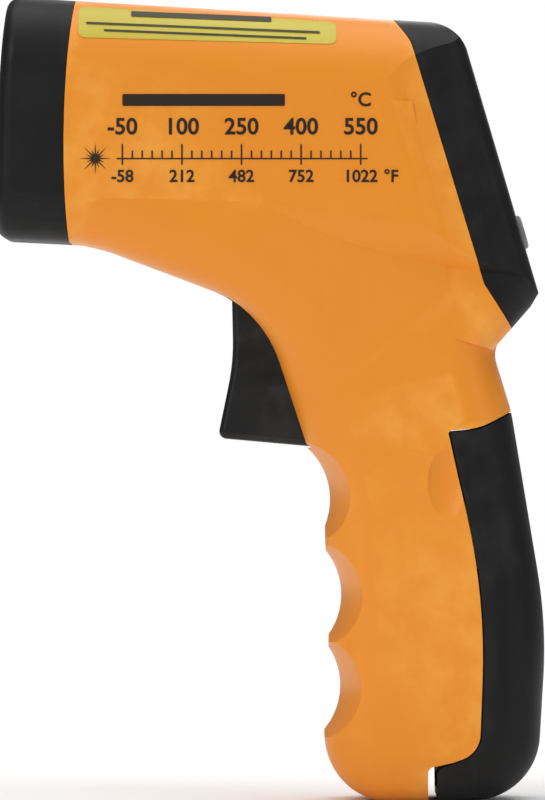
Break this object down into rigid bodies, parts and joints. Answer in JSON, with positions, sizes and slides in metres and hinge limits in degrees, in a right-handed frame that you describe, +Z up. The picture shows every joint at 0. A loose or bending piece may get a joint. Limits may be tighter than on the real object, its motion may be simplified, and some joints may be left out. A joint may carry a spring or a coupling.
{
  "type": "infrared thermometer",
  "caption": "Pistol-grip infrared thermometer with a trigger, a recessed lens in a round-edged nose, a rear display with keys and a hinged battery door in the grip.",
  "frame": {"origin": "centre of the flat base of the grip, on the parting plane", "axes": "+Z up along the grip, nose towards -X, display towards +X, thickness along Y with the left shell on -Y"},
  "size_m": [0.1019, 0.043, 0.1498],
  "materials": {
    "shell_orange": "satin",
    "cover_black": "matte",
    "trigger_black": "satin",
    "inner_black": "matte",
    "lens": "gloss",
    "laser_glass": "gloss",
    "window": "gloss",
    "lcd": "satin",
    "diffuser": "satin",
    "key_grey": "matte",
    "elastomer": "matte",
    "foam": "matte",
    "board": "satin",
    "chip": "matte",
    "switch_black": "satin",
    "plunger": "satin",
    "socket": "satin",
    "ribbon": "gloss",
    "steel": "brushed",
    "nickel": "polished",
    "brass": "satin",
    "wire_red": "satin",
    "wire_black": "satin",
    "wire_blue": "satin",
    "battery_jacket": "gloss"
  },
  "bodies": {
    "housing": {"left_shell": "shell_orange", "right_shell": "shell_orange", "housing_screws": "steel", "nose_cap": "cover_black", "ir_lens": "lens", "lens_ring": "inner_black", "optic_tube": "inner_black", "thermopile_sensor": "nickel", "sensor_board": "board", "laser_window": "laser_glass", "laser_module": "brass", "laser_holder": "inner_black", "display_bezel": "cover_black", "lcd_window": "window", "lcd_glass": "lcd", "lcd_frame": "inner_black", "backlight": "diffuser", "zebra_strips": "elastomer", "display_board": "board", "button_switches": "switch_black", "main_board": "board", "main_chips": "chip", "buzzer": "chip", "board_screws": "steel", "display_ribbon": "ribbon", "ribbon_socket": "socket", "trigger_switch": "switch_black", "sensor_wires": "wire_blue", "laser_wires": "wire_red", "battery_lead_red": "wire_red", "battery_lead_black": "wire_black", "trigger_pin": "steel", "trigger_spring": "steel", "battery": "battery_jacket", "battery_terminals": "nickel", "battery_snap": "wire_black", "door_hinge_pin": "steel"},
    "trigger": {"trigger": "trigger_black"},
    "trigger_plunger": {"trigger_plunger": "plunger"},
    "battery_door": {"battery_door": "cover_black", "door_pad": "foam"},
    "laser_button": {"laser_button": "key_grey", "laser_plunger": "plunger"},
    "backlight_button": {"backlight_button": "key_grey", "backlight_plunger": "plunger"},
    "units_button": {"units_button": "key_grey", "units_plunger": "plunger"}
  },
  "joints": [
    {"name": "trigger_pull", "type": "hinge", "parent": "housing", "child": "trigger", "pos_m": [-0.027, 0, 0.097], "axis": [0, -1, 0], "range_deg": [0, 8], "stiffness_Nm_per_rad": 0.35, "springref_deg": -8.59, "deforming": ["trigger_spring"]},
    {"name": "trigger_plunger_press", "type": "slide", "parent": "housing", "child": "trigger_plunger", "axis": [1, 0, 0], "range_m": [0, 0.0016]},
    {"name": "door_swing", "type": "hinge", "parent": "housing", "child": "battery_door", "pos_m": [0.0076, 0, 0.0042], "axis": [0, 1, 0], "range_deg": [0, 70]},
    {"name": "laser_press", "type": "slide", "parent": "housing", "child": "laser_button", "axis": [-0.9593, 0, -0.2823], "range_m": [0, 0.0006], "stiffness_N_per_m": 1200, "springref_m": -0.0003},
    {"name": "backlight_press", "type": "slide", "parent": "housing", "child": "backlight_button", "axis": [-0.9593, 0, -0.2823], "range_m": [0, 0.0006], "stiffness_N_per_m": 1200, "springref_m": -0.0003},
    {"name": "units_press", "type": "slide", "parent": "housing", "child": "units_button", "axis": [-0.9593, 0, -0.2823], "range_m": [0, 0.0006], "stiffness_N_per_m": 1200, "springref_m": -0.0003}
  ],
  "couplings": [
    {"joint": "trigger_plunger_press", "follows": "trigger_pull", "m_per_rad": 0.0107}
  ]
}
